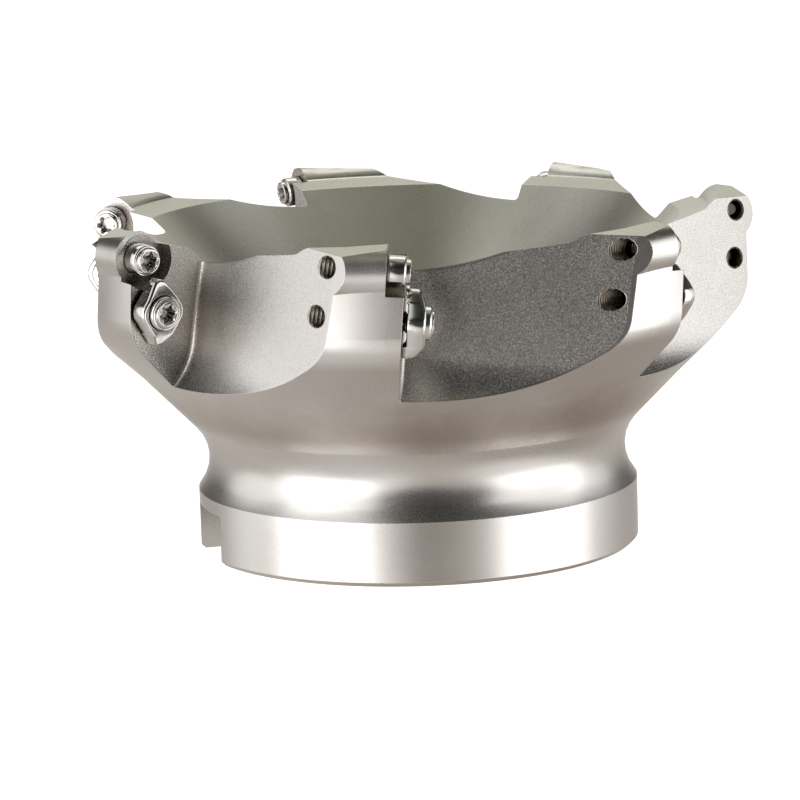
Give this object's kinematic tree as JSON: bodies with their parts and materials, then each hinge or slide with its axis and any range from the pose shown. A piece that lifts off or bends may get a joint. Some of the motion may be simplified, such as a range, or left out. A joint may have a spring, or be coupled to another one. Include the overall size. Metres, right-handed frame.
{
  "type": "face mill",
  "caption": "Right-hand shell face mill with pockets for round inserts, each with its insert screw, clamp and clamp screw, a stepped flange and drive slots.",
  "frame": {"origin": "centre of the bore on the face that meets the arbor", "axes": "+Z towards the cutting end, drive slots along X, first tooth at 45 degrees from +X towards +Y"},
  "size_m": [0.1223, 0.1215, 0.0626],
  "materials": {
    "body_steel": "satin, fine blasted and nickel plated",
    "bright_steel": "polished"
  },
  "bodies": {
    "cutter_body": {"cutter_body": "body_steel"},
    "clamp_1": {"clamp_1": "bright_steel"},
    "clamp_screw_1": {"clamp_screw_1": "bright_steel"},
    "insert_screw_1": {"insert_screw_1": "bright_steel"},
    "clamp_2": {"clamp_2": "bright_steel"},
    "clamp_screw_2": {"clamp_screw_2": "bright_steel"},
    "insert_screw_2": {"insert_screw_2": "bright_steel"},
    "clamp_3": {"clamp_3": "bright_steel"},
    "clamp_screw_3": {"clamp_screw_3": "bright_steel"},
    "insert_screw_3": {"insert_screw_3": "bright_steel"},
    "clamp_4": {"clamp_4": "bright_steel"},
    "clamp_screw_4": {"clamp_screw_4": "bright_steel"},
    "insert_screw_4": {"insert_screw_4": "bright_steel"},
    "clamp_5": {"clamp_5": "bright_steel"},
    "clamp_screw_5": {"clamp_screw_5": "bright_steel"},
    "insert_screw_5": {"insert_screw_5": "bright_steel"},
    "clamp_6": {"clamp_6": "bright_steel"},
    "clamp_screw_6": {"clamp_screw_6": "bright_steel"},
    "insert_screw_6": {"insert_screw_6": "bright_steel"},
    "clamp_7": {"clamp_7": "bright_steel"},
    "clamp_screw_7": {"clamp_screw_7": "bright_steel"},
    "insert_screw_7": {"insert_screw_7": "bright_steel"}
  },
  "joints": [
    {"name": "clamp_1_lift", "type": "slide", "parent": "cutter_body", "child": "clamp_1", "axis": [-0.7331, 0.6741, -0.0906], "range_m": [0, 0.0021]},
    {"name": "clamp_screw_1_turn", "type": "hinge", "parent": "clamp_1", "child": "clamp_screw_1", "pos_m": [0.04077, 0.03925, 0.04967], "axis": [-0.7331, 0.6741, -0.0906], "range_deg": [0, 1080]},
    {"name": "insert_screw_1_withdraw", "type": "slide", "parent": "cutter_body", "child": "insert_screw_1", "axis": [-0.7331, 0.6741, -0.0906], "range_m": [0, 0.008]},
    {"name": "clamp_2_lift", "type": "slide", "parent": "cutter_body", "child": "clamp_2", "axis": [-0.9841, -0.1528, -0.0906], "range_m": [0, 0.0021]},
    {"name": "clamp_screw_2_turn", "type": "hinge", "parent": "clamp_2", "child": "clamp_screw_2", "pos_m": [-0.00527, 0.05635, 0.04967], "axis": [-0.9841, -0.1528, -0.0906], "range_deg": [0, 1080]},
    {"name": "insert_screw_2_withdraw", "type": "slide", "parent": "cutter_body", "child": "insert_screw_2", "axis": [-0.9841, -0.1528, -0.0906], "range_m": [0, 0.008]},
    {"name": "clamp_3_lift", "type": "slide", "parent": "cutter_body", "child": "clamp_3", "axis": [-0.4941, -0.8647, -0.0906], "range_m": [0, 0.0021]},
    {"name": "clamp_screw_3_turn", "type": "hinge", "parent": "clamp_3", "child": "clamp_screw_3", "pos_m": [-0.04734, 0.03101, 0.04967], "axis": [-0.4941, -0.8647, -0.0906], "range_deg": [0, 1080]},
    {"name": "insert_screw_3_withdraw", "type": "slide", "parent": "cutter_body", "child": "insert_screw_3", "axis": [-0.4941, -0.8647, -0.0906], "range_m": [0, 0.008]},
    {"name": "clamp_4_lift", "type": "slide", "parent": "cutter_body", "child": "clamp_4", "axis": [0.368, -0.9254, -0.0906], "range_m": [0, 0.0021]},
    {"name": "clamp_screw_4_turn", "type": "hinge", "parent": "clamp_4", "child": "clamp_screw_4", "pos_m": [-0.05376, -0.01767, 0.04967], "axis": [0.368, -0.9254, -0.0906], "range_deg": [0, 1080]},
    {"name": "insert_screw_4_withdraw", "type": "slide", "parent": "cutter_body", "child": "insert_screw_4", "axis": [0.368, -0.9254, -0.0906], "range_m": [0, 0.008]},
    {"name": "clamp_5_lift", "type": "slide", "parent": "cutter_body", "child": "clamp_5", "axis": [0.9529, -0.2893, -0.0906], "range_m": [0, 0.0021]},
    {"name": "clamp_screw_5_turn", "type": "hinge", "parent": "clamp_5", "child": "clamp_screw_5", "pos_m": [-0.0197, -0.05305, 0.04967], "axis": [0.9529, -0.2893, -0.0906], "range_deg": [0, 1080]},
    {"name": "insert_screw_5_withdraw", "type": "slide", "parent": "cutter_body", "child": "insert_screw_5", "axis": [0.9529, -0.2893, -0.0906], "range_m": [0, 0.008]},
    {"name": "clamp_6_lift", "type": "slide", "parent": "cutter_body", "child": "clamp_6", "axis": [0.8203, 0.5647, -0.0906], "range_m": [0, 0.0021]},
    {"name": "clamp_screw_6_turn", "type": "hinge", "parent": "clamp_6", "child": "clamp_screw_6", "pos_m": [0.02919, -0.04848, 0.04967], "axis": [0.8203, 0.5647, -0.0906], "range_deg": [0, 1080]},
    {"name": "insert_screw_6_withdraw", "type": "slide", "parent": "cutter_body", "child": "insert_screw_6", "axis": [0.8203, 0.5647, -0.0906], "range_m": [0, 0.008]},
    {"name": "clamp_7_lift", "type": "slide", "parent": "cutter_body", "child": "clamp_7", "axis": [0.07, 0.9934, -0.0906], "range_m": [0, 0.0021]},
    {"name": "clamp_screw_7_turn", "type": "hinge", "parent": "clamp_7", "child": "clamp_screw_7", "pos_m": [0.05611, -0.0074, 0.04967], "axis": [0.07, 0.9934, -0.0906], "range_deg": [0, 1080]},
    {"name": "insert_screw_7_withdraw", "type": "slide", "parent": "cutter_body", "child": "insert_screw_7", "axis": [0.07, 0.9934, -0.0906], "range_m": [0, 0.008]}
  ],
  "couplings": [
    {"joint": "clamp_screw_1_turn", "follows": "clamp_1_lift", "rad_per_m": 8975.9},
    {"joint": "clamp_screw_2_turn", "follows": "clamp_2_lift", "rad_per_m": 8975.9},
    {"joint": "clamp_screw_3_turn", "follows": "clamp_3_lift", "rad_per_m": 8975.9},
    {"joint": "clamp_screw_4_turn", "follows": "clamp_4_lift", "rad_per_m": 8975.9},
    {"joint": "clamp_screw_5_turn", "follows": "clamp_5_lift", "rad_per_m": 8975.9},
    {"joint": "clamp_screw_6_turn", "follows": "clamp_6_lift", "rad_per_m": 8975.9},
    {"joint": "clamp_screw_7_turn", "follows": "clamp_7_lift", "rad_per_m": 8975.9}
  ]
}
